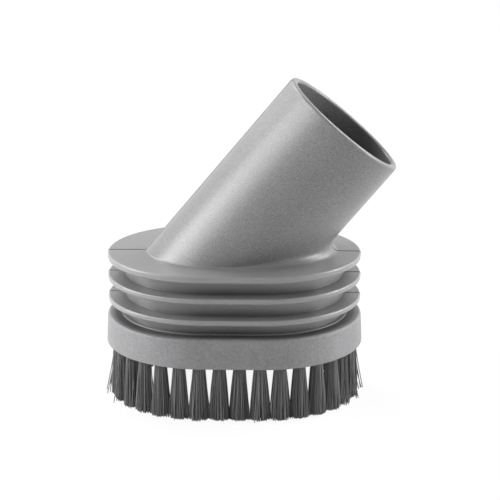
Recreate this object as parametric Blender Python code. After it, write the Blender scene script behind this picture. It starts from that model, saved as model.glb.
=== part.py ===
"""Vacuum brush tool: a finned nozzle head with an oblique wand socket and a ring of bristle tufts.

The head stands on its bristle tips at Z = 0. Its outline is a stadium, straight along X with round
ends, and the socket tube leans towards +X in the XZ plane. The nozzle body is one hollow moulding. The
brush ring snaps into its foot, and each tuft is folded round a flat wire anchor in a blind hole.
"""

import math
import random

import bmesh
import bpy
from mathutils import Matrix, Vector

MM = 0.001

# Head outline, shared by the body and the brush ring
STRAIGHT_HALF = 8.45 * MM
FIN_END_RADIUS = 28.25 * MM
FIN_DEPTH = 5.0 * MM
NECK_WALL = 1.8 * MM

# Flange and fins round the neck
FLANGE_THICKNESS = 1.8 * MM
FIN_THICKNESS = 1.55 * MM
FIN_PITCH = 6.29 * MM
FIN_COUNT = 2
FIN_EDGE = 0.45 * MM
LOWEST_FIN_TOP = 5.6 * MM
ROOF_THICKNESS = 2.0 * MM
ROOF_CORNER = 1.5 * MM

# Lip round the foot of the neck
LIP_REACH = 0.4 * MM
LIP_HEIGHT = 0.6 * MM

# Wand socket
SOCKET_DIAMETER = 35.0 * MM
SOCKET_DEPTH = 30.0 * MM
SOCKET_STOP = 1.0 * MM
STOP_RISE = 19.4 * MM
TUBE_WALL = 2.1 * MM
TUBE_TILT = math.radians(50.1)
TUBE_FILLET = 0.8 * MM
TUBE_FILLET_UNDER = 2.0 * MM
MOUTH_EDGE = 0.45 * MM
MOUTH_LEAD_IN = 0.7 * MM

# Brush ring
RING_HEIGHT = 8.6 * MM
RING_OVERHANG = 0.3 * MM
RING_DRAFT = math.radians(2.6)
RING_TOP_EDGE = 0.9 * MM
RING_EDGE = 0.4 * MM
SPIGOT_WALL = 1.6 * MM
SPIGOT_HEIGHT = 6.5 * MM
SNAP_BEAD = 0.5 * MM
SNAP_HEIGHT = 4.2 * MM

# Tufts, their holes and their anchors
TUFT_COUNT = 34
TUFT_PHASE = 0.4
TUFT_LINE_INSET = 3.0 * MM
TUFT_ROOT_RADIUS = 1.77 * MM
TUFT_REACH = 15.8 * MM
TUFT_SPREAD_REACH = 9.75 * MM
TUFT_TIP_DEPTH = 4.7 * MM
TUFT_LEAN = 0.3 * MM
TUFT_LOBES = 6
TUFT_FLUTE = 0.13
TUFT_NOTCH = 0.9 * MM
TUFT_RAGGED = 0.6 * MM
HOLE_ROOF = 2.0 * MM
ANCHOR_THICKNESS = 0.5 * MM
ANCHOR_HEIGHT = 1.6 * MM
ANCHOR_GRIP = 0.3 * MM
FOLD_THICKNESS = 0.9 * MM

# Clearance between pieces that touch, and how far a cutter runs past the face it opens
FIT_GAP = 0.3 * MM
CUT_OVERRUN = 0.5 * MM

# Facets
STATIONS = 42
FILLET_STEPS = 4
EDGE_STEPS = 2
HOLE_SIDES = 10
SHARP_ANGLE = math.radians(32)

# Sizes that follow from those above
RING_BASE = TUFT_REACH
SEAT = RING_BASE + RING_HEIGHT
FLANGE_TOP = SEAT + LOWEST_FIN_TOP + FIN_COUNT * FIN_PITCH
NECK_RADIUS = FIN_END_RADIUS - FIN_DEPTH
NECK_BORE = NECK_RADIUS - NECK_WALL
SPIGOT_RADIUS = NECK_BORE - FIT_GAP
OPENING_RADIUS = SPIGOT_RADIUS - SPIGOT_WALL
RING_TOP_RADIUS = FIN_END_RADIUS + RING_OVERHANG
RING_BASE_RADIUS = RING_TOP_RADIUS + RING_HEIGHT * math.tan(RING_DRAFT)
SOCKET_RADIUS = SOCKET_DIAMETER / 2
TUBE_RADIUS = SOCKET_RADIUS + TUBE_WALL
TUBE_LENGTH = STOP_RISE + SOCKET_DEPTH
HOLE_RADIUS = TUFT_ROOT_RADIUS + FIT_GAP
HOLE_DEPTH = RING_HEIGHT - HOLE_ROOF
TUFT_LINE_RADIUS = RING_TOP_RADIUS - TUFT_LINE_INSET
TUFT_PITCH = (4 * STRAIGHT_HALF + 2 * math.pi * TUFT_LINE_RADIUS) / TUFT_COUNT

# Directions of the tilted tube: along it, and across it towards its underside
TUBE_AXIS = Vector((math.cos(TUBE_TILT), 0, math.sin(TUBE_TILT)))
TUBE_UNDER = Vector((math.sin(TUBE_TILT), 0, -math.cos(TUBE_TILT)))
TUBE_FOOT = Vector((0, 0, FLANGE_TOP))


def station_angles():
    """Angles round a section. Their count is 4n + 2, so one lies on each end and none on the straights."""
    return [2 * math.pi * k / STATIONS for k in range(STATIONS)]


def stadium(radius, height):
    """A level section of the head: a circle pulled apart by the straight run."""
    return [
        Vector(
            (
                radius * math.cos(angle) + math.copysign(STRAIGHT_HALF, math.cos(angle)),
                radius * math.sin(angle),
                height,
            )
        )
        for angle in station_angles()
    ]


def tube_side(angle):
    """The direction straight out of the tube's wall."""
    return TUBE_UNDER * math.cos(angle) + Vector((0, math.sin(angle), 0))


def tube_circle(radius, along):
    """A section square to the tube."""
    return [TUBE_FOOT + TUBE_AXIS * along + tube_side(angle) * radius for angle in station_angles()]


def tube_at_height(radius, angle, height):
    """Where a line along a tube of this radius meets a level plane."""
    start = TUBE_FOOT + tube_side(angle) * radius
    return start + TUBE_AXIS * ((height - start.z) / TUBE_AXIS.z)


def tube_fillet():
    """Sections of the fillet that a rolling ball leaves between the tube and the flange, tube side first.

    The ball grows towards the tube's underside, where the corner is sharp.
    """
    up = Vector((0, 0, 1))
    sections = [[] for step in range(FILLET_STEPS + 1)]
    for angle in station_angles():
        under = ((1 + math.cos(angle)) / 2) ** 2
        ball = TUBE_FILLET + (TUBE_FILLET_UNDER - TUBE_FILLET) * under
        centre = tube_at_height(TUBE_RADIUS + ball, angle, FLANGE_TOP + ball)
        for step, section in enumerate(sections):
            section.append(centre - tube_side(angle).slerp(up, step / FILLET_STEPS) * ball)
    return sections


def quarter_round(edge, reverse=False):
    """Offsets (outwards, downwards) from the start of a rounded outer edge to its end."""
    turns = [math.pi / 2 * k / EDGE_STEPS for k in range(EDGE_STEPS + 1)]
    points = [(edge * math.sin(turn), edge * (1 - math.cos(turn))) for turn in turns]
    if reverse:
        points = [(outwards, edge - downwards) for outwards, downwards in reversed(points)]
    return points


def rounded_rim(top_radius, top, top_edge, base_radius, base, base_edge):
    """A (radius, height) profile down a rim with both edges rounded."""
    upper = [(top_radius - top_edge + out, top - down) for out, down in quarter_round(top_edge)]
    lower = [
        (base_radius - base_edge + out, base + base_edge - down)
        for out, down in quarter_round(base_edge, True)
    ]
    return upper + lower


def mouth_sections():
    """The rounded end of the tube, from its inside over the end face to its outside."""
    inside = [
        tube_circle(SOCKET_RADIUS + MOUTH_LEAD_IN - out, TUBE_LENGTH - down)
        for out, down in reversed(quarter_round(MOUTH_LEAD_IN))
    ]
    outside = [
        tube_circle(TUBE_RADIUS - MOUTH_EDGE + out, TUBE_LENGTH - down)
        for out, down in quarter_round(MOUTH_EDGE)
    ]
    return inside + outside


def neck_profile():
    """The outside of the head below the flange's top face: flange rim, fins and the lip at the foot."""
    profile = []
    for fin in range(FIN_COUNT + 1):
        top = FLANGE_TOP - fin * FIN_PITCH
        base = top - (FIN_THICKNESS if fin else FLANGE_THICKNESS)
        if fin:
            profile.append((NECK_RADIUS, top))
        profile += rounded_rim(FIN_END_RADIUS, top, FIN_EDGE, FIN_END_RADIUS, base, FIN_EDGE)
        profile.append((NECK_RADIUS, base))
    foot = SEAT + FIT_GAP
    lip_radius = NECK_RADIUS + LIP_REACH
    profile += [
        (NECK_RADIUS, foot + LIP_HEIGHT),
        (lip_radius, foot + LIP_HEIGHT - LIP_REACH),
        (lip_radius, foot),
    ]
    return profile


def snap_ring(radius, reach, middle, half_height):
    """A (radius, height) profile up over a bead, or up into a groove."""
    return [
        (radius, middle - half_height - reach),
        (radius + reach, middle - half_height),
        (radius + reach, middle + half_height),
        (radius, middle + half_height + reach),
    ]


def chamber_profile():
    """The inside of the neck, from its foot up to the roof."""
    roof = FLANGE_TOP - ROOF_THICKNESS
    return (
        [(NECK_BORE, SEAT + FIT_GAP)]
        + snap_ring(NECK_BORE, SNAP_BEAD, SEAT + SNAP_HEIGHT, SNAP_BEAD / 2 + FIT_GAP)
        + [(NECK_BORE, roof - ROOF_CORNER), (NECK_BORE - ROOF_CORNER, roof)]
    )


def airway_sections():
    """The air passage from the roof up to the socket's stop and its floor."""
    passage = SOCKET_RADIUS - SOCKET_STOP
    return [
        [tube_at_height(passage, angle, FLANGE_TOP - ROOF_THICKNESS) for angle in station_angles()],
        tube_circle(passage, STOP_RISE),
        tube_circle(SOCKET_RADIUS, STOP_RISE),
    ]


def body_sections():
    """Every section of the body, over its outside, round its foot and back up its inside."""
    return (
        mouth_sections()
        + tube_fillet()
        + [stadium(*point) for point in neck_profile()]
        + [stadium(*point) for point in chamber_profile()]
        + airway_sections()
    )


def ring_profile():
    """The brush ring's section: down its outside, in under it, up its opening and down the spigot."""
    spigot_top = SEAT + SPIGOT_HEIGHT
    bead = snap_ring(SPIGOT_RADIUS, SNAP_BEAD, SEAT + SNAP_HEIGHT, SNAP_BEAD / 2)
    return (
        rounded_rim(RING_TOP_RADIUS, SEAT, RING_TOP_EDGE, RING_BASE_RADIUS, RING_BASE, RING_EDGE)
        + [
            (OPENING_RADIUS + RING_EDGE, RING_BASE),
            (OPENING_RADIUS, RING_BASE + RING_EDGE),
            (OPENING_RADIUS, spigot_top),
            (SPIGOT_RADIUS - RING_EDGE, spigot_top),
            (SPIGOT_RADIUS, spigot_top - RING_EDGE),
        ]
        + list(reversed(bead))
        + [(SPIGOT_RADIUS, SEAT)]
    )


def lofted_ring(name, sections):
    """One closed skin through sections that lead back to the first."""
    bm = bmesh.new()
    verts = [bm.verts.new(point) for point in sections[0]]
    first_edges = [bm.edges.new((verts[k - 1], verts[k])) for k in range(len(verts))]
    edges = first_edges
    for section in sections[1:]:
        made = bmesh.ops.extrude_edge_only(bm, edges=edges)["geom"]
        edges = [item for item in made if isinstance(item, bmesh.types.BMEdge)]
        new = {item for item in made if isinstance(item, bmesh.types.BMVert)}
        following = []
        for vert, point in zip(verts, section):
            partner = next(e.other_vert(vert) for e in vert.link_edges if e.other_vert(vert) in new)
            partner.co = point
            following.append(partner)
        verts = following
    bmesh.ops.bridge_loops(bm, edges=edges + first_edges)
    return finished_mesh(name, bm)


def lofted_bundle(name, sections, tip_centre):
    """A closed skin through sections, flat at the first and pointed at a centre past the last."""
    bm = bmesh.new()
    rows = [[bm.verts.new(point) for point in section] for section in sections]
    bm.faces.new(rows[0])
    for upper, lower in zip(rows, rows[1:]):
        for k in range(len(upper)):
            bm.faces.new((upper[k - 1], upper[k], lower[k], lower[k - 1]))
    centre = bm.verts.new(tip_centre)
    for k in range(len(rows[-1])):
        bm.faces.new((rows[-1][k - 1], rows[-1][k], centre))
    return finished_mesh(name, bm)


def finished_mesh(name, bm):
    bmesh.ops.recalc_face_normals(bm, faces=bm.faces)
    mesh = bpy.data.meshes.new(name)
    bm.to_mesh(mesh)
    bm.free()
    mesh.shade_smooth()
    mesh.set_sharp_from_angle(angle=SHARP_ANGLE)
    return mesh


def tuft_places():
    """Each tuft's place on the tuft line and the angle that points straight outwards there."""
    arc = math.pi * TUFT_LINE_RADIUS
    places = []
    for number in range(TUFT_COUNT):
        along = (number + TUFT_PHASE) * TUFT_PITCH
        if along < STRAIGHT_HALF:
            spot, outwards = (along, -TUFT_LINE_RADIUS), -math.pi / 2
        elif along < STRAIGHT_HALF + arc:
            outwards = (along - STRAIGHT_HALF) / TUFT_LINE_RADIUS - math.pi / 2
            spot = (
                STRAIGHT_HALF + TUFT_LINE_RADIUS * math.cos(outwards),
                TUFT_LINE_RADIUS * math.sin(outwards),
            )
        elif along < 3 * STRAIGHT_HALF + arc:
            spot, outwards = (2 * STRAIGHT_HALF + arc - along, TUFT_LINE_RADIUS), math.pi / 2
        elif along < 3 * STRAIGHT_HALF + 2 * arc:
            outwards = (along - 3 * STRAIGHT_HALF) / TUFT_LINE_RADIUS - math.pi / 2
            spot = (
                -STRAIGHT_HALF + TUFT_LINE_RADIUS * math.cos(outwards),
                TUFT_LINE_RADIUS * math.sin(outwards),
            )
        else:
            spot = (along - 4 * STRAIGHT_HALF - 2 * arc, -TUFT_LINE_RADIUS)
            outwards = -math.pi / 2
        places.append((Vector((spot[0], spot[1], RING_BASE)), outwards))
    return places


def place_matrix(place):
    """A tuft's own frame: X outwards, Y along the row and Z up from the ring's underside."""
    spot, outwards = place
    return Matrix.Translation(spot) @ Matrix.Rotation(outwards, 4, "Z")


def hole_mesh(name):
    """One blind hole for each tuft, as solids."""
    bm = bmesh.new()
    corner_radius = HOLE_RADIUS / math.cos(math.pi / HOLE_SIDES)
    lift = Matrix.Translation((0, 0, (HOLE_DEPTH - CUT_OVERRUN) / 2))
    for place in tuft_places():
        bmesh.ops.create_cone(
            bm,
            cap_ends=True,
            segments=HOLE_SIDES,
            radius1=corner_radius,
            radius2=corner_radius,
            depth=HOLE_DEPTH + CUT_OVERRUN,
            matrix=place_matrix(place) @ lift,
        )
    return finished_mesh(name, bm)


def anchor_mesh(name, clearance):
    """One flat wire across each hole, along the row, made larger all round by a clearance."""
    bm = bmesh.new()
    top = HOLE_DEPTH - FIT_GAP - FOLD_THICKNESS - FIT_GAP
    lift = Matrix.Translation((0, 0, top - ANCHOR_HEIGHT / 2))
    length = 2 * (HOLE_RADIUS + ANCHOR_GRIP)
    wire = Vector((ANCHOR_THICKNESS, length, ANCHOR_HEIGHT))
    size = Matrix.Diagonal([side + 2 * clearance for side in wire]).to_4x4()
    for place in tuft_places():
        bmesh.ops.create_cube(bm, size=1, matrix=place_matrix(place) @ lift @ size)
    return finished_mesh(name, bm)


def tuft_section(outwards, along_row, shift, heights):
    """A fluted oval across a bundle, with its own height at each point."""
    section = []
    for k, height in enumerate(heights):
        angle = 2 * math.pi * k / len(heights)
        share = 1 - TUFT_FLUTE * (1 - k % 2)
        section.append(
            Vector(
                (
                    shift + outwards * share * math.cos(angle),
                    along_row * share * math.sin(angle),
                    height,
                )
            )
        )
    return section


def tuft_mesh(name, number):
    """A bundle of bristles: folded end up in its hole, spread to its neighbours and ragged at its tip."""
    chance = random.Random(number)
    points = 2 * TUFT_LOBES
    root = TUFT_ROOT_RADIUS
    half_width = (TUFT_PITCH - FIT_GAP) / 2
    half_depth = TUFT_TIP_DEPTH / 2
    tips = []
    for k in range(points):
        notch = 0 if k % 2 else TUFT_NOTCH
        tips.append(notch + chance.uniform(0, TUFT_RAGGED) - TUFT_REACH)
    tips[2 * chance.randrange(TUFT_LOBES) + 1] = -TUFT_REACH
    sections = [
        tuft_section(root, root, 0, [HOLE_DEPTH - FIT_GAP] * points),
        tuft_section(root, root, 0, [0] * points),
        tuft_section(half_depth, half_width, TUFT_LEAN, [-TUFT_SPREAD_REACH] * points),
        tuft_section(half_depth, half_width, TUFT_LEAN, tips),
    ]
    return lofted_bundle(name, sections, Vector((TUFT_LEAN, 0, TUFT_NOTCH / 2 - TUFT_REACH)))


def plastic(name, colour, roughness):
    material = bpy.data.materials.new(name)
    material.use_nodes = True
    shader = material.node_tree.nodes["Principled BSDF"]
    shader.inputs["Base Color"].default_value = (*colour, 1)
    shader.inputs["Roughness"].default_value = roughness
    shader.inputs["Metallic"].default_value = 0
    material.diffuse_color = (*colour, 1)
    return material


def add_object(name, mesh, parent, material=None):
    item = bpy.data.objects.new(name, mesh)
    bpy.context.scene.collection.objects.link(item)
    item.parent = parent
    if material:
        mesh.materials.append(material)
    return item


def add_cutter(name, mesh, parent):
    cutter = add_object(name, mesh, parent)
    cutter.hide_render = True
    cutter.display_type = "WIRE"
    return cutter


def cut(item, cutter):
    modifier = item.modifiers.new(cutter.name, "BOOLEAN")
    modifier.operation = "DIFFERENCE"
    modifier.solver = "EXACT"
    modifier.object = cutter


def head_offset(sections):
    """How far the head's own axis lies from the middle of the whole part, along X."""
    ring_end = STRAIGHT_HALF + RING_BASE_RADIUS
    furthest = max(point.x for section in sections for point in section)
    return (ring_end - furthest) / 2


def clear_scene():
    for item in list(bpy.data.objects):
        bpy.data.objects.remove(item, do_unlink=True)


def main():
    clear_scene()
    sections = body_sections()
    head = add_object("head_axis", None, None)
    head.location.x = head_offset(sections)

    body_grey = plastic("satin_grey_moulding", (0.36, 0.36, 0.37), 0.42)
    ring_grey = plastic("matt_grey_ring", (0.33, 0.33, 0.34), 0.5)
    bristle_grey = plastic("dark_bristle", (0.09, 0.09, 0.09), 0.55)

    add_object("body", lofted_ring("body", sections), head, body_grey)

    ring_sections = [stadium(*point) for point in ring_profile()]
    ring = add_object("brush_ring", lofted_ring("brush_ring", ring_sections), head, ring_grey)
    holes = add_cutter("tuft_holes", hole_mesh("tuft_holes"), head)
    anchors = add_cutter("anchors", anchor_mesh("anchors", 0), head)
    cut(holes, anchors)
    cut(ring, holes)

    slots = add_cutter("tuft_slots", anchor_mesh("tuft_slots", FIT_GAP), head)
    for number, place in enumerate(tuft_places(), 1):
        name = f"tuft_{number:02d}"
        tuft = add_object(name, tuft_mesh(name, number), head, bristle_grey)
        tuft.location, tuft.rotation_euler.z = place
        cut(tuft, slots)


main()
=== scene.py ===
"""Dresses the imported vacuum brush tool: finer mouldings, real bristles, wire anchors and a studio.

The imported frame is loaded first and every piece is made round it, in metres, with +Z up. Each group
of like pieces has its own operator. The sizes and colours that a user would change are properties.
"""

import math
import random

import bmesh
import bpy
from bpy.props import FloatProperty, FloatVectorProperty, IntProperty, PointerProperty
from mathutils import Matrix, Vector


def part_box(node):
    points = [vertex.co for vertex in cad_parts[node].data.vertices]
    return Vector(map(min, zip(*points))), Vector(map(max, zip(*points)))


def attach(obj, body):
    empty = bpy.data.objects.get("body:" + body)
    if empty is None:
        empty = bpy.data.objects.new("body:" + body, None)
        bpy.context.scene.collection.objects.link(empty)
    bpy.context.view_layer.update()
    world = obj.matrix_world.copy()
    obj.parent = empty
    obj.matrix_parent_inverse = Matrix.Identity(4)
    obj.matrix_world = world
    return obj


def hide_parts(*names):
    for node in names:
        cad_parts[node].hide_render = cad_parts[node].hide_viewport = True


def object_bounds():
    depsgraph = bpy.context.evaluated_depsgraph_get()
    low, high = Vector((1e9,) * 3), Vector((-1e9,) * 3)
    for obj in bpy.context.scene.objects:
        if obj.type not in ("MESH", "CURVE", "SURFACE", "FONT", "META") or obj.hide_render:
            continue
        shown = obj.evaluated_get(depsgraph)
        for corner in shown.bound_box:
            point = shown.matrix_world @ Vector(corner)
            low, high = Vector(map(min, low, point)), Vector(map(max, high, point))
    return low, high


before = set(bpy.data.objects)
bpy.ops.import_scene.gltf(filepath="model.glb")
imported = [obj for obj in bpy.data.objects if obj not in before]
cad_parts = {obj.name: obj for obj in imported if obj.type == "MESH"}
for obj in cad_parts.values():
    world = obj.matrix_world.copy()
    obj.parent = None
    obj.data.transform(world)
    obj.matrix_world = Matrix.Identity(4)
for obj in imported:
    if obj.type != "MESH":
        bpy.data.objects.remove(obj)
CAD_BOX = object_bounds()

bl_info = {
    "name": "Vacuum brush tool",
    "version": (1, 0, 0),
    "blender": (4, 5, 0),
    "location": "View3D > Sidebar > Brush tool",
    "description": "Builds a dusting brush for a vacuum wand round its packed frame",
    "category": "Add Mesh",
}

MM = 0.001
BODY = "root"
UP = Vector((0, 0, 1))

# The head's axis, the ring's foot and the level of the bristle tips, as the frame has them
RING_LOW, RING_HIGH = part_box("brush_ring")
HEAD_X = (RING_LOW.x + RING_HIGH.x) / 2
RING_BASE = RING_LOW.z
TIP_LEVEL = CAD_BOX[0].z
TUFT_NODES = sorted(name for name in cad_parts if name.startswith("tuft_"))

# Facets: the count round a section is 4n + 2, so one lies on each end and none on the straights
STATIONS = 190
ROUND_STEPS = 3
FILLET_STEPS = 10
HOLE_SIDES = 20
STRAND_SIDES = 4
STRAND_STEPS = 5
SHARP_ANGLE = math.radians(34)

# Points nearer to each other, or to a level, than this count as one
TOUCH = 0.001 * MM

# Where the fillet round the tube's foot is full size: 0 is the tube's side, 1 its underside
FILLET_TURN = 0.65

# Small roundings, insets and overruns that a user has no need to change
LIP_ROOT_ROUNDING = 0.1 * MM
LIP_ROUNDING = 0.12 * MM
STOP_ROUNDING = 0.3 * MM
STOP_THICKNESS = 1 * MM
SPIGOT_ROUNDING = 0.2 * MM
BEAD_ROUNDING = 0.15 * MM
ANCHOR_ROUNDING = 0.08 * MM
FLANGE_JOIN_INSET = 1.2 * MM
ROOF_JOIN_INSET = 4 * MM
DRILL_OVERRUN = 0.5 * MM

# The fold of a tuft: its gap beside the wire, how far it rises over the wire and how it closes up
WIRE_GAP = 0.03 * MM
FOLD_DROP = 0.1 * MM
FOLD_RISE = 0.7
FOLD_WIDTH = 0.96
FOLD_DEPTH = 0.35

# How much a bundle still widens towards its tips, and the least share of the dome that it gets
TIP_SPREAD = 0.06
DOME_LEAST = 0.4

# One bristle in so many runs wild: the first that does, its stray and its least share of the lean
WILD_EVERY = 47
WILD_FIRST = 5
WILD_STRAY = 3
WILD_LEAST = 0.35

# The grain grows over this height from the flange to the tube, and the necks get more painted light
# than the rims
GRAIN_RISE = 2.5 * MM
NECK_PAINTED_LIGHT = 1.5

# The photograph's camera, and what the lamps aim at: millimetres, X from the head's axis
CAMERA_LENS = 126.95
CAMERA_PLACE = (17.09, -492.64, 182.98)
CAMERA_TARGET = (4.57, 0, 42.52)
LAMP_AIM = (5, 0, 42)

# Each lamp's size in metres, and its bearing from +X and its height in degrees. Its power is the
# studio setting of the same name
LAMP_DISTANCE = 1.1
LAMPS = {
    "left": ((1.0, 0.5), 195, 28),
    "left_low": ((0.5, 0.5), 180, 12),
    "left_back": ((0.55, 0.55), 130, 43),
    "right": ((0.5, 0.5), 0, 12),
    "right_back": ((0.5, 0.5), 32, 28),
    "high": ((0.5, 0.5), 30, 48),
    "front": ((0.5, 0.5), 270, 12),
}
FLOOR_SIZE = 4
FLOOR_GAP = 0.02 * MM


def length(name, description, millimetres):
    return FloatProperty(
        name=name,
        description=description,
        default=millimetres * MM,
        min=0,
        precision=5,
        subtype="DISTANCE",
        unit="LENGTH",
    )


def angle(name, description, degrees):
    return FloatProperty(
        name=name,
        description=description,
        default=math.radians(degrees),
        subtype="ANGLE",
        unit="ROTATION",
    )


def share(name, description, value, highest=1.0):
    return FloatProperty(
        name=name, description=description, default=value, min=0, max=highest, subtype="FACTOR"
    )


def count(name, description, value):
    return IntProperty(name=name, description=description, default=value, min=1)


def colour(name, description, value):
    return FloatVectorProperty(
        name=name, description=description, default=value, size=3, min=0, max=1, subtype="COLOR"
    )


def power(name, description, watts):
    return FloatProperty(
        name=name, description=description, default=watts, min=0, subtype="POWER", unit="POWER"
    )


class HeadSizes(bpy.types.PropertyGroup):
    """The finned head, whose outline is a circle pulled apart along X"""

    straight_half: length("Straight half", "Half of the straight run between the round ends", 8.45)
    fin_radius: length("Fin end radius", "Radius of the round ends of the flange and fins", 28.25)
    fin_depth: length("Fin depth", "How far the fins stand out of the neck", 5.0)
    neck_wall: length("Neck wall", "Wall of the neck behind the fins", 1.8)
    flange_thickness: length("Flange thickness", "Thickness of the flange under the tube", 1.8)
    fin_thickness: length("Fin thickness", "Thickness of each fin", 1.55)
    fin_pitch: length("Fin pitch", "Height from one fin to the next", 6.29)
    fins: count("Fins", "How many fins lie below the flange", 2)
    lowest_fin: length("Lowest fin", "Height of the lowest fin's top above the ring", 5.6)
    edge: length("Edge rounding", "Rounding of the rims of the flange and fins", 0.45)
    root: length("Root rounding", "Rounding where a fin meets the neck", 0.15)
    roof: length("Roof", "Thickness of the roof over the chamber", 2.0)
    roof_corner: length("Roof corner", "Rounding inside the chamber's roof", 1.5)
    lip_reach: length("Lip reach", "How far the lip at the neck's foot stands out", 1.3)
    lip_height: length("Lip height", "Height of the lip at the neck's foot", 0.4)
    lip_gap: length("Lip gap", "Hairline between the lip and the brush ring", 0.05)
    seam_offset: length("Seam offset", "How far in front of the middle the parting line runs", 0.3)
    seam_slope: length("Seam slope", "Width of the slope that leads down to the parting line", 0.5)
    seam_wall: length("Seam wall", "Width of the steep wall behind the parting line", 0.06)
    seam_depth: length("Seam depth", "Depth of the parting line", 0.14)
    flash_width: length("Flash width", "Width of the thin flash behind the parting line", 0.4)
    flash_height: length("Flash height", "Height of the thin flash behind the parting line", 0.06)


class SocketSizes(bpy.types.PropertyGroup):
    """The socket tube that takes the wand"""

    bore: length("Bore", "Inside diameter of the socket", 35.0)
    wall: length("Wall", "Wall of the tube", 2.1)
    depth: length("Depth", "Depth of the socket down to its stop", 30.0)
    stop: length("Stop", "How far the stop stands into the bore", 1.0)
    stop_rise: length("Stop rise", "Distance from the flange to the stop along the tube", 19.4)
    tilt: angle("Tilt", "How steeply the tube rises from level", 50.1)
    fillet: length("Fillet", "Least radius of the fillet round the tube's foot", 0.6)
    under_fillet: length("Underside fillet", "Radius of the fillet under the leaning tube", 2.3)
    edge: length("Mouth rounding", "Rounding of the mouth's outer edge", 0.8)
    lead_in: length("Lead-in", "Rounding of the mouth's inner edge", 0.8)


class RingSizes(bpy.types.PropertyGroup):
    """The brush ring that holds the bristles"""

    height: length("Height", "Height of the band that shows", 8.6)
    overhang: length("Overhang", "How far the top of the band stands past the fins", 0.3)
    draft: angle("Draft", "Taper of the band, wider at its foot", 2.6)
    top_edge: length("Top edge rounding", "Rounding of the band's upper edge", 0.7)
    edge: length("Edge rounding", "Rounding of the band's other edges", 0.4)
    spigot_wall: length("Spigot wall", "Wall of the spigot inside the neck", 1.6)
    spigot_height: length("Spigot height", "Height of the spigot above the band", 6.5)
    bead: length("Snap bead", "How far the snap bead stands out", 0.5)
    bead_height: length("Snap bead height", "Height of the bead's middle above the band", 4.2)
    gap: length("Fit gap", "Clearance between pieces that touch", 0.3)


class TuftSizes(bpy.types.PropertyGroup):
    """The bristle tufts, their holes and their wire anchors"""

    phase: share("Phase", "Where the first tuft starts, as a share of the pitch", 0.4)
    inset: length("Row inset", "Distance of the tuft row in from the band's top edge", 3.0)
    root_radius: length("Root radius", "Radius of a bundle in its hole", 1.77)
    hole_roof: length("Hole roof", "Material left above each hole", 2.0)
    spread_reach: length("Spread reach", "Depth below the ring at which a bundle is widest", 13.2)
    tip_depth: length("Tip depth", "Size of a bundle across the row at its tip", 4.7)
    overlap: length("Overlap", "How far a bundle reaches into its neighbour at the tips", 0.2)
    wild: length("Wild bristles", "How far the few wild bristles of an end tuft lean out", 2.6)
    lean: length("Lean", "How far a bundle leans outwards at its tip", 0.3)
    strands: count("Strands", "How many bristles make one tuft", 170)
    strand_radius: length("Bristle radius", "Radius of one bristle", 0.13)
    stray: length("Stray", "How far a bristle's tip wanders from its place", 0.16)
    bow: length("Bow", "How far a bristle bends along its way", 0.12)
    ragged: length("Ragged tips", "How much the lengths of the bristles differ", 0.3)
    dome: length("Dome", "How much shorter the outer bristles of a tuft are", 0.45)
    anchor_thickness: length("Anchor thickness", "Thickness of the flat wire in a hole", 0.5)
    anchor_height: length("Anchor height", "Height of the flat wire in a hole", 1.6)
    anchor_grip: length("Anchor grip", "How far a wire's ends bite into the ring", 0.3)
    fold: length("Fold", "Height of the folded bristles over their anchor", 0.9)


class Finishes(bpy.types.PropertyGroup):
    """Colours of the mouldings, the bristles and the wire"""

    body: colour("Body", "Satin grey of the nozzle body", (0.205, 0.205, 0.209))
    ring: colour("Ring", "Matt grey of the brush ring", (0.22, 0.22, 0.225))
    bristle: colour("Bristle", "Dark grey of the bristles", (0.126, 0.126, 0.128))
    wire: colour("Wire", "Dull tinned steel of the anchors", (0.52, 0.51, 0.49))
    grain: length("Grain", "Size of the fine grain of the mould", 0.3)


class StudioLamps(bpy.types.PropertyGroup):
    """Lamps, surroundings and floor"""

    left: power("Left lamp", "Wide soft lamp at the left", 9.9)
    left_low: power("Low left lamp", "Low lamp at the left", 8.4)
    left_back: power("Left back lamp", "High lamp at the left and behind", 7.2)
    right: power("Right lamp", "Low lamp at the right", 9.8)
    right_back: power("Right back lamp", "Lamp at the right and behind", 4.4)
    high: power("High lamp", "High lamp at the right and behind", 6.0)
    front: power("Front lamp", "Faint low lamp in front", 0.5)
    surround: share("Surroundings", "Strength of the light from all round", 0.01, 2.0)
    floor_white: share("Floor white", "Share of the floor that shows plain white", 0.92)


class BrushTool(bpy.types.PropertyGroup):
    """Everything that a user can change"""

    head: PointerProperty(type=HeadSizes)
    socket: PointerProperty(type=SocketSizes)
    ring: PointerProperty(type=RingSizes)
    tufts: PointerProperty(type=TuftSizes)
    finishes: PointerProperty(type=Finishes)
    studio: PointerProperty(type=StudioLamps)


def settings():
    return bpy.context.scene.brush_tool


class Levels:
    """Heights and radii that follow from the sizes and the frame."""

    def __init__(self):
        tool = settings()
        head, socket, ring, tufts = tool.head, tool.socket, tool.ring, tool.tufts
        self.seat = RING_BASE + ring.height
        self.flange_top = self.seat + head.lowest_fin + head.fins * head.fin_pitch
        self.roof = self.flange_top - head.roof
        self.neck = head.fin_radius - head.fin_depth
        self.bore = self.neck - head.neck_wall
        self.flange_join = head.fin_radius - FLANGE_JOIN_INSET
        self.roof_join = self.bore - ROOF_JOIN_INSET
        self.spigot = self.bore - ring.gap
        self.opening = self.spigot - ring.spigot_wall
        self.ring_top = head.fin_radius + ring.overhang
        self.ring_base = self.ring_top + ring.height * math.tan(ring.draft)
        self.socket = socket.bore / 2
        self.tube = self.socket + socket.wall
        self.tube_length = socket.stop_rise + socket.depth
        self.row = self.ring_top - tufts.inset
        self.hole = tufts.root_radius + ring.gap
        self.hole_depth = ring.height - tufts.hole_roof
        self.anchor_top = self.hole_depth - ring.gap - tufts.fold - ring.gap
        self.reach = RING_BASE - TIP_LEVEL
        self.straight = head.straight_half
        self.pitch = (4 * self.straight + 2 * math.pi * self.row) / len(TUFT_NODES)


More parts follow.
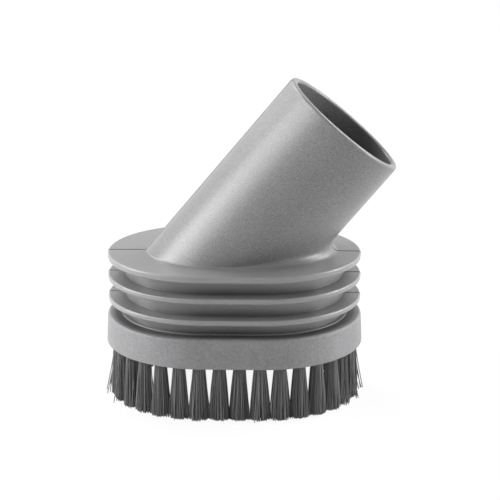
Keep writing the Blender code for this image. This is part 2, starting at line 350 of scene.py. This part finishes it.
class Socket:
    """A shader value whose operators add the Math nodes for an expression."""

    def __init__(self, shader, output):
        self.shader = shader
        self.output = output

    def maths(self, operation, first, second):
        node = self.shader.node(
            "ShaderNodeMath", {"operation": operation}, {0: first, 1: second}
        )
        return Socket(self.shader, node.outputs[0])

    def __add__(self, other):
        return self.maths("ADD", self, other)

    def __radd__(self, other):
        return self.maths("ADD", other, self)

    def __sub__(self, other):
        return self.maths("SUBTRACT", self, other)

    def __rsub__(self, other):
        return self.maths("SUBTRACT", other, self)

    def __mul__(self, other):
        return self.maths("MULTIPLY", self, other)

    def __rmul__(self, other):
        return self.maths("MULTIPLY", other, self)

    def at_most(self, other):
        return self.maths("MINIMUM", self, other)

    def at_least(self, other):
        return self.maths("MAXIMUM", self, other)


class Shader:
    """A material's node tree, with one method that adds any node."""

    def __init__(self, tree):
        self.tree = tree

    def node(self, kind, choices, values):
        node = self.tree.nodes.new(kind)
        for name, choice in choices.items():
            setattr(node, name, choice)
        for name, value in values.items():
            if isinstance(value, Socket):
                self.tree.links.new(value.output, node.inputs[name])
            elif value is not None:
                node.inputs[name].default_value = value
        return node

    def socket(self, node, name):
        return Socket(self, node.outputs[name])

    def place(self):
        """Object coordinates, which are metres because every piece's object sits at the origin."""
        return self.socket(self.node("ShaderNodeTexCoord", {}, {}), "Object")

    def height(self):
        return self.socket(self.node("ShaderNodeSeparateXYZ", {}, {0: self.place()}), "Z")

    def noise(self, size, detail, roughness=0.5, stretch=None):
        """Noise whose features are about size across, from 0 to 1."""
        vector = self.place()
        if stretch:
            mapping = self.node("ShaderNodeMapping", {}, {"Vector": vector, "Scale": stretch})
            vector = self.socket(mapping, "Vector")
        values = {"Vector": vector, "Scale": 1 / size, "Detail": detail, "Roughness": roughness}
        return self.socket(self.node("ShaderNodeTexNoise", {}, values), "Fac")

    def attribute(self, name):
        return self.socket(self.node("ShaderNodeAttribute", {"attribute_name": name}, {}), "Fac")

    def mix(self, factor, first, second):
        """A mix of two colours, each a value or a link."""
        choices = {"data_type": "RGBA", "clamp_factor": True}
        values = {0: factor, 6: first, 7: second}
        return Socket(self, self.node("ShaderNodeMix", choices, values).outputs[2])

    def blend(self, factor, first, second):
        """A colour between two plain ones."""
        return self.mix(factor, (*first, 1), (*second, 1))

    def bump(self, height, depth, strength):
        values = {"Height": height, "Distance": depth, "Strength": strength}
        return self.socket(self.node("ShaderNodeBump", {}, values), "Normal")


def new_material(name, base):
    """A material without nodes, and the Shader that fills it."""
    material = bpy.data.materials.new(name)
    material.use_nodes = True
    material.node_tree.nodes.clear()
    material.diffuse_color = (*base, 1)
    return material, Shader(material.node_tree)


def finish_surface(shader, values):
    surface = shader.node("ShaderNodeBsdfPrincipled", {}, values)
    shader.node("ShaderNodeOutputMaterial", {}, {"Surface": shader.socket(surface, "BSDF")})


def shade(base, factor):
    return tuple(part * factor for part in base)


def satin_moulding():
    """Satin grey plastic with the fine grain of its mould, with painted shade in corners, along the
    seam and in the bore, and painted light on rims and necks.
    """
    base = settings().finishes.body
    size = settings().finishes.grain
    material, shader = new_material("satin_grey_moulding", base)
    grain = shader.noise(size, 1.0)
    fine = shader.noise(size / 2.2, 1.0)
    cloud = shader.noise(24 * MM, 2.0)
    # Painted shade along the parting line's groove
    seam = (shader.attribute("seam") * 3).at_most(1)
    # Painted shade at the grooves' roots and in the bore
    recess = shader.attribute("recess")
    painted_shade = seam * 0.15 + recess * recess * recess * 0.45 + shader.attribute("bore") * 0.12
    on_tube = ((shader.height() - Levels().flange_top) * (1 / GRAIN_RISE)).at_least(0).at_most(1)
    mottle = (grain * 0.75 + fine * 0.25 - 0.5) * (on_tube * 0.7 + 0.3) * 3.2 + (cloud - 0.5) * 0.5
    toned = shader.blend(mottle + 0.5, shade(base, 0.72), shade(base, 1.28))
    # Painted light on the rims and, stronger, on the necks
    painted_rim_light = shader.mix(shader.attribute("rim") * 0.25, toned, (*shade(base, 2), 1))
    relief = (grain * 0.7 + fine * 0.3) * (on_tube * 0.85 + 0.15)
    finish_surface(
        shader,
        {
            "Base Color": shader.mix(painted_shade, painted_rim_light, (0, 0, 0, 1)),
            "Roughness": 0.27 + grain * 0.12 + seam * 0.2,
            "IOR": 1.49,
            "Normal": shader.bump(relief, 0.09 * MM, 0.6),
        },
    )
    return material


def matt_moulding():
    """Plainer matt grey plastic with a mottled face, and painted shade on its top towards the body's
    foot.
    """
    base = settings().finishes.ring
    size = settings().finishes.grain
    material, shader = new_material("matt_grey_ring", base)
    grain = shader.noise(size * 1.9, 2.0)
    fine = shader.noise(size / 1.6, 1.0)
    cloud = shader.noise(7 * MM, 3.0, 0.55)
    tones = (shade(base, 0.75), shade(base, 1.25))
    tone = (grain - 0.5) * 1.5 + (fine - 0.5) * 0.7 + (cloud - 0.5) * 0.6 + 0.5
    # Painted shade on the ring's top round the body's foot
    painted_shade = (shader.attribute("recess") * 4).at_most(1) * 0.68
    finish_surface(
        shader,
        {
            "Base Color": shader.mix(painted_shade, shader.blend(tone, *tones), (0, 0, 0, 1)),
            "Roughness": 0.5 + grain * 0.14,
            "IOR": 1.49,
            "Normal": shader.bump(grain * 0.7 + fine * 0.3, 0.05 * MM, 0.5),
        },
    )
    return material


def bristle_fibre():
    """Dark drawn filament, with its tone changing a little from bristle to bristle."""
    base = settings().finishes.bristle
    material, shader = new_material("dark_bristle", base)
    strand = shader.attribute("strand")
    streak = shader.noise(0.5 * MM, 2.0, stretch=(1, 1, 0.08))
    tone = strand * 0.75 + streak * 0.25
    finish_surface(
        shader,
        {
            "Base Color": shader.blend(tone, shade(base, 0.74), shade(base, 1.38)),
            "Roughness": 0.44 + streak * 0.12,
            "IOR": 1.5,
        },
    )
    return material


def tinned_wire():
    """Dull tinned steel of the flat anchor wire."""
    base = settings().finishes.wire
    material, shader = new_material("tinned_wire", base)
    drawn = shader.noise(0.3 * MM, 2.0)
    finish_surface(
        shader,
        {
            "Base Color": shader.blend(drawn, shade(base, 0.8), shade(base, 1.1)),
            "Metallic": 1.0,
            "Roughness": 0.32 + drawn * 0.15,
        },
    )
    return material


def new_piece(bm, name, material, nodes):
    """A finished mesh as a piece that rides on the body and stands for its CAD nodes."""
    bmesh.ops.translate(bm, verts=bm.verts, vec=(HEAD_X, 0, 0))
    bmesh.ops.recalc_face_normals(bm, faces=bm.faces)
    mesh = bpy.data.meshes.new(name)
    bm.to_mesh(mesh)
    bm.free()
    mesh.materials.append(material)
    mesh.shade_smooth()
    mesh.set_sharp_from_angle(angle=SHARP_ANGLE)
    piece = bpy.data.objects.new(name, mesh)
    bpy.context.scene.collection.objects.link(piece)
    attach(piece, BODY)
    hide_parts(*nodes)
    return piece


def weigh_normals(piece):
    """Lets the large faces keep their own shading beside the narrow rounded edges."""
    modifier = piece.modifiers.new("flat_faces_stay_flat", "WEIGHTED_NORMAL")
    modifier.keep_sharp = True


def rim_verts(edges):
    """The ends of some edges, once each and in order, so that every run gives the same mesh."""
    return list(dict.fromkeys(vert for edge in edges for vert in edge.verts))


def turned(bm, profile, place, closed=False):
    """Round a wire profile of (radius, height, rounding) and spin it about a frame's Z axis."""
    points = [bm.verts.new(place @ Vector((radius, 0, height))) for radius, height, _ in profile]
    for pair in zip(points, points[1:] + points[:1] if closed else points[1:]):
        bm.edges.new(pair)
    for rounding in sorted({row[2] for row in profile if row[2]}):
        corners = [point for point, row in zip(points, profile) if row[2] == rounding]
        bmesh.ops.bevel(
            bm,
            geom=corners,
            offset=rounding,
            offset_type="OFFSET",
            segments=ROUND_STEPS,
            profile=0.5,
            affect="VERTICES",
            material=-1,
        )
    wire = [edge for edge in bm.edges if edge.is_wire]
    bmesh.ops.spin(
        bm,
        geom=rim_verts(wire) + wire,
        cent=place.translation,
        axis=place.to_3x3() @ UP,
        angle=2 * math.pi,
        steps=STATIONS,
        use_merge=True,
    )


def pull_apart(bm, straight):
    """Turn round sections into stadiums: each half moves out by the straight run."""
    for side in (-1, 1):
        half = [vert for vert in bm.verts if vert.co.x * side > 0]
        bmesh.ops.translate(bm, verts=half, vec=(side * straight, 0, 0))


def open_rim(bm, test):
    """The open edges whose two ends pass a test of their position."""
    return [
        edge for edge in bm.edges if edge.is_boundary and all(test(vert.co) for vert in edge.verts)
    ]


def extruded(bm, edges):
    """Extrude a rim, and give back the new rim's edges."""
    made = bmesh.ops.extrude_edge_only(bm, edges=edges)["geom"]
    return [item for item in made if isinstance(item, bmesh.types.BMEdge)]


def tube_frame(levels, tilt):
    """The tube's own frame: X across towards its underside, Y across and Z along it."""
    under = Vector((math.sin(tilt), 0, -math.cos(tilt)))
    along = Vector((math.cos(tilt), 0, math.sin(tilt)))
    turn = Matrix((under, (0, 1, 0), along)).transposed().to_4x4()
    return Matrix.Translation((0, 0, levels.flange_top)) @ turn


def head_profile(levels):
    """Flange, fins, lip, foot, snap groove and chamber, from the flange's top face to the roof."""
    head, ring = settings().head, settings().ring
    fin, neck, bore = head.fin_radius, levels.neck, levels.bore
    profile = [(levels.flange_join, levels.flange_top, 0)]
    for number in range(head.fins + 1):
        top = levels.flange_top - number * head.fin_pitch
        base = top - (head.fin_thickness if number else head.flange_thickness)
        if number:
            profile.append((neck, top, head.root))
        profile += [(fin, top, head.edge), (fin, base, head.edge), (neck, base, head.root)]
    foot = levels.seat + head.lip_gap
    lip = neck + head.lip_reach
    lip_top = foot + head.lip_height
    middle = levels.seat + ring.bead_height
    half = ring.bead / 2 + ring.gap
    return profile + [
        (neck, lip_top, LIP_ROOT_ROUNDING),
        (lip, lip_top, LIP_ROUNDING),
        (lip, foot, LIP_ROUNDING),
        (bore, foot, LIP_ROUNDING),
        (bore, middle - half - ring.bead, 0),
        (bore + ring.bead, middle - half, 0),
        (bore + ring.bead, middle + half, 0),
        (bore, middle + half + ring.bead, 0),
        (bore, levels.roof, head.roof_corner),
        (levels.roof_join, levels.roof, 0),
    ]


def join_tube(bm, levels):
    """Turn the tube, lay a rolling-ball fillet round its foot and join it to flange and roof.

    The ball grows from the tube's side towards its underside, where the corner is sharp.
    """
    socket = settings().socket
    flange_rim = open_rim(bm, lambda co: abs(co.z - levels.flange_top) < TOUCH)
    roof_rim = open_rim(bm, lambda co: abs(co.z - levels.roof) < TOUCH)
    place = tube_frame(levels, socket.tilt)
    into_tube = place.inverted()
    turn = place.to_3x3()
    along = turn @ UP
    passage = levels.socket - socket.stop
    start = levels.tube_length / 2
    profile = [
        (levels.tube, start, 0),
        (levels.tube, levels.tube_length, socket.edge),
        (levels.socket, levels.tube_length, socket.lead_in),
        (levels.socket, socket.stop_rise, STOP_ROUNDING),
        (passage, socket.stop_rise, STOP_ROUNDING),
        (passage, socket.stop_rise - STOP_THICKNESS, 0),
    ]
    before = set(bm.edges)
    turned(bm, profile, place)
    new_rims = [edge for edge in bm.edges if edge.is_boundary and edge not in before]

    def from_axis(vert):
        local = into_tube @ vert.co
        return Vector((local.x, local.y, 0))

    middle = (levels.tube + passage) / 2
    foot_rim = [edge for edge in new_rims if from_axis(edge.verts[0]).length > middle]
    passage_rim = [edge for edge in new_rims if from_axis(edge.verts[0]).length < middle]

    side = bm.verts.layers.float_vector.new("side")
    for vert in rim_verts(new_rims):
        vert[side] = from_axis(vert).normalized()
    for step in range(FILLET_STEPS + 1):
        if step:
            foot_rim = extruded(bm, foot_rim)
        for vert in rim_verts(foot_rim):
            out = turn @ vert[side]
            under = min(max(vert[side].x / FILLET_TURN, 0), 1)
            grown = under * under * (3 - 2 * under)
            radius = socket.fillet + (socket.under_fillet - socket.fillet) * grown
            ball = place.translation + out * (levels.tube + radius)
            ball += along * ((levels.flange_top + radius - ball.z) / along.z)
            vert.co = ball - out.slerp(UP, step / FILLET_STEPS) * radius

    passage_rim = extruded(bm, passage_rim)
    for vert in rim_verts(passage_rim):
        vert.co += along * ((levels.roof - vert.co.z) / along.z)
    joins = []
    for rim, target, radius, height in (
        (foot_rim, flange_rim, levels.flange_join, levels.flange_top),
        (passage_rim, roof_rim, levels.roof_join, levels.roof),
    ):
        rim = extruded(bm, rim)
        for vert in rim_verts(rim):
            out = vert[side] * radius
            vert.co = (out.x + math.copysign(levels.straight, out.x), out.y, height)
        joins += rim_verts(rim) + rim_verts(target)
    bmesh.ops.remove_doubles(bm, verts=joins, dist=TOUCH)
    bm.verts.layers.float_vector.remove(side)


def cut_seam(bm, levels):
    """Cut the fine step where the halves of the mould meet, round the outside near the middle."""
    head, socket = settings().head, settings().socket
    middle = -head.seam_offset
    crest = middle + head.seam_wall
    for place in (middle - head.seam_slope, middle, crest, crest + head.flash_width):
        bmesh.ops.bisect_plane(
            bm,
            geom=bm.verts[:] + bm.edges[:] + bm.faces[:],
            dist=TOUCH / 10,
            plane_co=(0, place, 0),
            plane_no=(0, 1, 0),
        )
    bmesh.ops.recalc_face_normals(bm, faces=bm.faces)
    bm.normal_update()
    into_tube = tube_frame(levels, socket.tilt).inverted()
    slack = 0.2 * MM
    seam = bm.verts.layers.float.new("seam")
    shifts = []
    for vert in bm.verts:
        valley = abs(vert.co.y - middle) < TOUCH
        if not valley and abs(vert.co.y - crest) > TOUCH:
            continue
        if vert.co.z > levels.flange_top + TOUCH:
            outside = (into_tube @ vert.co).xy.length > levels.tube - slack
        else:
            outside = abs(vert.co.x) > levels.straight + levels.neck - slack
            outside = outside or vert.co.z > levels.flange_top - TOUCH
        if outside:
            vert[seam] = valley
            shifts.append((vert, -head.seam_depth if valley else head.flash_height))
    for vert, shift in shifts:
        vert.co += vert.normal * shift


def mark_recesses(bm, levels):
    """Mark the grooves' roots and the bore, which get painted shade, and the rims and necks, which
    get painted light.
    """
    head, socket = settings().head, settings().socket
    into_tube = tube_frame(levels, socket.tilt).inverted()
    recess = bm.verts.layers.float.new("recess")
    rim = bm.verts.layers.float.new("rim")
    bore = bm.verts.layers.float.new("bore")
    slack = 0.3 * MM
    roots = [levels.flange_top - number * head.fin_pitch for number in range(1, head.fins + 1)]
    roots.append(levels.seat + head.lip_height)
    for vert in bm.verts:
        height = vert.co.z
        radius = math.hypot(max(abs(vert.co.x) - levels.straight, 0), vert.co.y)
        below = height < levels.flange_top + TOUCH
        on_neck = height < levels.flange_top - slack
        on_neck = on_neck and levels.bore + slack < radius < levels.neck + slack
        at_root = on_neck and any(abs(height - root) < slack for root in roots)
        # Painted shade at the grooves' roots
        vert[recess] = at_root
        # Painted light on the rims and, stronger, on the necks
        vert[rim] = below and radius > head.fin_radius - slack
        if on_neck and not at_root:
            vert[rim] = NECK_PAINTED_LIGHT
        # Painted shade inside the bore
        vert[bore] = not below and (into_tube @ vert.co).xy.length < levels.socket + TOUCH


def ring_profile(levels):
    """The band, its underside, the suction opening, the spigot and its snap bead, all round."""
    ring = settings().ring
    top, base = levels.seat, RING_BASE
    spigot_top = levels.seat + ring.spigot_height
    middle = levels.seat + ring.bead_height
    half = ring.bead / 2
    return [
        (levels.ring_top, top, ring.top_edge),
        (levels.ring_base, base, ring.edge),
        (levels.opening, base, ring.edge),
        (levels.opening, spigot_top, SPIGOT_ROUNDING),
        (levels.spigot, spigot_top, ring.edge),
        (levels.spigot, middle + half + ring.bead, 0),
        (levels.spigot + ring.bead, middle + half, BEAD_ROUNDING),
        (levels.spigot + ring.bead, middle - half, BEAD_ROUNDING),
        (levels.spigot, middle - half - ring.bead, 0),
        (levels.spigot, top, SPIGOT_ROUNDING),
    ]


def tuft_places(levels):
    """A frame for each tuft: X outwards, Y along the row, Z up from the ring's underside."""
    places = []
    half_round = 2 * levels.straight + math.pi * levels.row
    for number in range(len(TUFT_NODES)):
        run = (number + settings().tufts.phase) * levels.pitch + levels.straight
        half, along = divmod(run, half_round)
        outwards = max(along - 2 * levels.straight, 0) / levels.row - math.pi / 2
        spot = Vector((math.cos(outwards) * levels.row, math.sin(outwards) * levels.row, RING_BASE))
        spot.x += min(along, 2 * levels.straight) - levels.straight
        place = Matrix.Translation(spot) @ Matrix.Rotation(outwards, 4, "Z")
        places.append(Matrix.Rotation(math.pi * half, 4, "Z") @ place)
    return places


def drill(ring, levels):
    """Cut a blind hole for each tuft, and keep the result as the ring's own mesh."""
    bm = bmesh.new()
    lift = Matrix.Translation((HEAD_X, 0, (levels.hole_depth - DRILL_OVERRUN) / 2))
    for place in tuft_places(levels):
        bmesh.ops.create_cone(
            bm,
            cap_ends=True,
            segments=HOLE_SIDES,
            radius1=levels.hole,
            radius2=levels.hole,
            depth=levels.hole_depth + DRILL_OVERRUN,
            matrix=lift @ place,
        )
    mesh = bpy.data.meshes.new("tuft_drill")
    bm.to_mesh(mesh)
    bm.free()
    cutter = bpy.data.objects.new("tuft_drill", mesh)
    bpy.context.scene.collection.objects.link(cutter)
    modifier = ring.modifiers.new("tuft_holes", "BOOLEAN")
    modifier.operation = "DIFFERENCE"
    modifier.solver = "EXACT"
    modifier.object = cutter
    graph = bpy.context.evaluated_depsgraph_get()
    drilled = bpy.data.meshes.new_from_object(ring.evaluated_get(graph))
    ring.modifiers.clear()
    plain = ring.data
    ring.data = drilled
    drilled.name = plain.name
    bpy.data.objects.remove(cutter, do_unlink=True)
    for leftover in (plain, mesh):
        bpy.data.meshes.remove(leftover)
    drilled.shade_smooth()
    drilled.set_sharp_from_angle(angle=SHARP_ANGLE)


def strand_path(levels, spot, chance, wild):
    """A bristle's way from the fold over its anchor, out of the hole and down to its ragged tip."""
    tufts = settings().tufts
    root = tufts.root_radius
    slot = tufts.anchor_thickness / 2 + tufts.strand_radius + WIRE_GAP
    sign = 1 if spot.x >= 0 else -1
    beside = Vector((sign * (slot + abs(spot.x) * (root - slot) / root), spot.y * FOLD_WIDTH))
    over = Vector((beside.x * FOLD_DEPTH, beside.y))
    rim = (spot.length / root) ** 2
    stray = tufts.stray * (WILD_STRAY if wild else 1)
    wander = Vector((chance.gauss(0, stray), chance.gauss(0, stray)))
    if wild:
        wander.x = wild * chance.uniform(WILD_LEAST, 1)
    bend = Vector((chance.gauss(0, tufts.bow), chance.gauss(0, tufts.bow)))
    short = tufts.ragged * chance.random() ** 2 + tufts.dome * rim * chance.uniform(DOME_LEAST, 1)
    tip = levels.reach - short
    half_width = levels.pitch / 2 + tufts.overlap
    half_depth = tufts.tip_depth / 2
    path = [
        (over, levels.anchor_top + tufts.fold * FOLD_RISE),
        (beside, levels.anchor_top - FOLD_DROP),
        (beside, levels.anchor_top - tufts.anchor_height),
        (spot, 0),
    ]
    for step in range(1, STRAND_STEPS + 1):
        depth = tip * step / STRAND_STEPS
        spread = min(depth / tufts.spread_reach, 1) + TIP_SPREAD * depth / levels.reach
        run = depth / levels.reach
        place = Vector(
            (
                spot.x * (1 + (half_depth / root - 1) * spread) + tufts.lean * run,
                spot.y * (1 + (half_width / root - 1) * spread),
            )
        )
        path.append((place + wander * run**1.5 + bend * math.sin(math.pi * run), -depth))
    return [Vector((place.x, place.y, height)) for place, height in path]


def grow_strands(bm, paths, tones):
    """Draw every bristle of a tuft along its path, by extruding a small face step by step."""
    radius = settings().tufts.strand_radius
    owner = bm.faces.layers.int.new("owner")
    tone = bm.verts.layers.float.new("strand")
    for number, path in enumerate(paths):
        made = bmesh.ops.create_circle(
            bm,
            cap_ends=True,
            segments=STRAND_SIDES,
            radius=radius,
            matrix=Matrix.Translation(path[0]) @ Matrix.Rotation(number, 4, "Z"),
        )
        for vert in made["verts"]:
            vert[tone] = tones[number]
        made["verts"][0].link_faces[0][owner] = number
    ends = bm.faces[:]
    for step in range(1, max(len(path) for path in paths)):
        ends = bmesh.ops.extrude_discrete_faces(bm, faces=ends)["faces"]
        for face in ends:
            path = paths[face[owner]]
            move = path[step] - path[step - 1]
            for vert in face.verts:
                vert.co += move
    roots = [edge for edge in bm.edges if edge.is_boundary]
    bmesh.ops.holes_fill(bm, edges=roots, sides=STRAND_SIDES)
    bm.faces.layers.int.remove(owner)


class BRUSHTOOL_OT_body(bpy.types.Operator):
    """Make the nozzle body: socket tube, flange, fins, neck and the passage through them"""

    bl_idname = "brush_tool.body"
    bl_label = "Nozzle body"

    def execute(self, context):
        levels = Levels()
        bm = bmesh.new()
        turned(bm, head_profile(levels), Matrix())
        pull_apart(bm, levels.straight)
        join_tube(bm, levels)
        cut_seam(bm, levels)
        mark_recesses(bm, levels)
        piece = new_piece(bm, "nozzle_body", satin_moulding(), ["body"])
        weigh_normals(piece)
        return {"FINISHED"}


class BRUSHTOOL_OT_ring(bpy.types.Operator):
    """Make the brush ring: the band, its spigot with the snap bead, and the tuft holes"""

    bl_idname = "brush_tool.ring"
    bl_label = "Brush ring"

    def execute(self, context):
        levels = Levels()
        bm = bmesh.new()
        turned(bm, ring_profile(levels), Matrix(), closed=True)
        # Painted shade on the ring's top round the body's foot
        recess = bm.verts.layers.float.new("recess")
        slack = 0.3 * MM
        for vert in bm.verts:
            on_top = abs(vert.co.z - levels.seat) < slack
            vert[recess] = on_top and vert.co.xy.length < levels.neck
        pull_apart(bm, levels.straight)
        piece = new_piece(bm, "bristle_ring", matt_moulding(), ["brush_ring"])
        drill(piece, levels)
        weigh_normals(piece)
        return {"FINISHED"}


class BRUSHTOOL_OT_anchors(bpy.types.Operator):
    """Make the flat wires that the tufts are folded round, one across each hole"""

    bl_idname = "brush_tool.anchors"
    bl_label = "Anchor wires"

    def execute(self, context):
        levels = Levels()
        tufts = settings().tufts
        wire = (
            tufts.anchor_thickness,
            2 * (levels.hole + tufts.anchor_grip),
            tufts.anchor_height,
        )
        shape = Matrix.Diagonal((*wire, 1))
        lift = Matrix.Translation((0, 0, levels.anchor_top - tufts.anchor_height / 2))
        bm = bmesh.new()
        for place in tuft_places(levels):
            bmesh.ops.create_cube(bm, size=1, matrix=place @ lift @ shape)
        bmesh.ops.bevel(
            bm,
            geom=bm.edges[:],
            offset=ANCHOR_ROUNDING,
            offset_type="OFFSET",
            segments=2,
            profile=0.5,
            affect="EDGES",
            material=-1,
        )
        new_piece(bm, "anchor_wires", tinned_wire(), ["brush_ring"])
        return {"FINISHED"}


class BRUSHTOOL_OT_tufts(bpy.types.Operator):
    """Make the bristle tufts, each from loose strands in its hole"""

    bl_idname = "brush_tool.tufts"
    bl_label = "Bristle tufts"

    def execute(self, context):
        levels = Levels()
        tufts = settings().tufts
        fibre = bristle_fibre()
        golden_angle = math.pi * (3 - math.sqrt(5))
        room = tufts.root_radius - tufts.strand_radius
        for seed, (node, place) in enumerate(zip(TUFT_NODES, tuft_places(levels))):
            chance = random.Random(seed)
            paths = []
            endwise = abs(place[0][0])
            wild = tufts.wild * (1 + endwise) / 2
            for number in range(tufts.strands):
                distance = room * math.sqrt((number + 0.5) / tufts.strands)
                bearing = number * golden_angle + seed
                spot = Vector((math.cos(bearing), math.sin(bearing))) * distance
                runs_wild = number % WILD_EVERY == WILD_FIRST
                paths.append(strand_path(levels, spot, chance, wild if runs_wild else 0))
            bm = bmesh.new()
            grow_strands(bm, paths, [chance.random() for _ in paths])
            bmesh.ops.transform(bm, matrix=place, verts=bm.verts)
            new_piece(bm, node.replace("tuft", "bristle_tuft"), fibre, [node])
        return {"FINISHED"}


def from_head(place):
    """A place given in millimetres from the head's axis, in the frame."""
    x, y, z = place
    return Vector((HEAD_X + x * MM, y * MM, z * MM))


def add_lamp(name, watts, size, bearing, height, aim):
    """A soft rectangular lamp that shines at the part from a bearing and a height in degrees."""
    turn = Matrix.Rotation(math.radians(bearing), 3, "Z")
    direction = turn @ Matrix.Rotation(math.radians(-height), 3, "Y") @ Vector((1, 0, 0))
    lamp = bpy.data.lights.new(name, "AREA")
    lamp.shape = "RECTANGLE"
    lamp.size, lamp.size_y = size
    lamp.energy = watts
    item = bpy.data.objects.new(name, lamp)
    item.location = aim + direction * LAMP_DISTANCE
    item.rotation_euler = (item.location - aim).to_track_quat("Z", "Y").to_euler()
    item.visible_camera = False
    bpy.context.scene.collection.objects.link(item)


def seen_directly(shader):
    """1 for what the camera sees, straight or in a mirror or through glass."""
    path = shader.node("ShaderNodeLightPath", {}, {})
    rays = [shader.socket(path, f"Is {kind} Ray") for kind in ("Camera", "Glossy", "Transmission")]
    return (rays[0] + rays[1] + rays[2]).at_most(1)


def white_floor():
    """A floor that shows plain white and still takes the part's shadow."""
    material, shader = new_material("white_floor", (0.9, 0.9, 0.9))
    tone = shader.blend(seen_directly(shader), (0.8, 0.8, 0.8), (0.95, 0.95, 0.95))
    paper = shader.node("ShaderNodeBsdfDiffuse", {}, {"Color": tone})
    glow = shader.node("ShaderNodeEmission", {}, {"Color": (1, 1, 1, 1), "Strength": 1})
    mixed = shader.node(
        "ShaderNodeMixShader",
        {},
        {
            0: seen_directly(shader) * settings().studio.floor_white,
            1: shader.socket(paper, "BSDF"),
            2: shader.socket(glow, "Emission"),
        },
    )
    shader.node("ShaderNodeOutputMaterial", {}, {"Surface": shader.socket(mixed, "Shader")})
    return material


def white_surroundings():
    """Surroundings that show white but light the part only softly."""
    world = bpy.data.worlds.new("studio")
    world.use_nodes = True
    world.node_tree.nodes.clear()
    shader = Shader(world.node_tree)
    soft = settings().studio.surround
    strength = seen_directly(shader) * (1 - soft) + soft
    glow = shader.node("ShaderNodeBackground", {}, {"Color": (1, 1, 1, 1), "Strength": strength})
    shader.node("ShaderNodeOutputWorld", {}, {"Surface": shader.socket(glow, "Background")})
    bpy.context.scene.world = world


class BRUSHTOOL_OT_stage(bpy.types.Operator):
    """Set up the floor, the surroundings, the lamps and the camera"""

    bl_idname = "brush_tool.stage"
    bl_label = "Studio"

    def execute(self, context):
        scene = context.scene
        studio = settings().studio
        bm = bmesh.new()
        level = Matrix.Translation((0, 0, TIP_LEVEL - FLOOR_GAP))
        bmesh.ops.create_grid(bm, x_segments=8, y_segments=8, size=FLOOR_SIZE, matrix=level)
        mesh = bpy.data.meshes.new("studio_floor")
        bm.to_mesh(mesh)
        bm.free()
        mesh.materials.append(white_floor())
        floor = bpy.data.objects.new("studio_floor", mesh)
        scene.collection.objects.link(floor)
        white_surroundings()

        aim = from_head(LAMP_AIM)
        for name, (size, bearing, height) in LAMPS.items():
            add_lamp(f"lamp_{name}", getattr(studio, name), size, bearing, height, aim)

        camera = bpy.data.cameras.new("camera")
        camera.lens = CAMERA_LENS
        camera.sensor_width = 36
        camera.clip_start = 0.01
        item = bpy.data.objects.new("camera", camera)
        item.location = from_head(CAMERA_PLACE)
        view = item.location - from_head(CAMERA_TARGET)
        item.rotation_euler = view.to_track_quat("Z", "Y").to_euler()
        scene.collection.objects.link(item)
        scene.camera = item
        scene.view_settings.view_transform = "Standard"
        return {"FINISHED"}


class BRUSHTOOL_PT_panel(bpy.types.Panel):
    """Buttons and sizes of the brush tool"""

    bl_idname = "BRUSHTOOL_PT_panel"
    bl_label = "Vacuum brush tool"
    bl_space_type = "VIEW_3D"
    bl_region_type = "UI"
    bl_category = "Brush tool"

    def draw(self, context):
        for operator in OPERATORS:
            self.layout.operator(operator.bl_idname)
        tool = settings()
        for group in (tool.head, tool.socket, tool.ring, tool.tufts, tool.finishes, tool.studio):
            box = self.layout.box()
            for name in type(group).__annotations__:
                box.prop(group, name)


GROUPS = (HeadSizes, SocketSizes, RingSizes, TuftSizes, Finishes, StudioLamps, BrushTool)
OPERATORS = (
    BRUSHTOOL_OT_body,
    BRUSHTOOL_OT_ring,
    BRUSHTOOL_OT_anchors,
    BRUSHTOOL_OT_tufts,
    BRUSHTOOL_OT_stage,
)
CLASSES = GROUPS + OPERATORS + (BRUSHTOOL_PT_panel,)


def register():
    for item in CLASSES:
        bpy.utils.register_class(item)
    bpy.types.Scene.brush_tool = PointerProperty(type=BrushTool)


def unregister():
    del bpy.types.Scene.brush_tool
    for item in reversed(CLASSES):
        bpy.utils.unregister_class(item)


def main():
    register()
    bpy.ops.brush_tool.body()
    bpy.ops.brush_tool.ring()
    bpy.ops.brush_tool.anchors()
    bpy.ops.brush_tool.tufts()
    bpy.ops.brush_tool.stage()


if __name__ == "__main__":
    main()
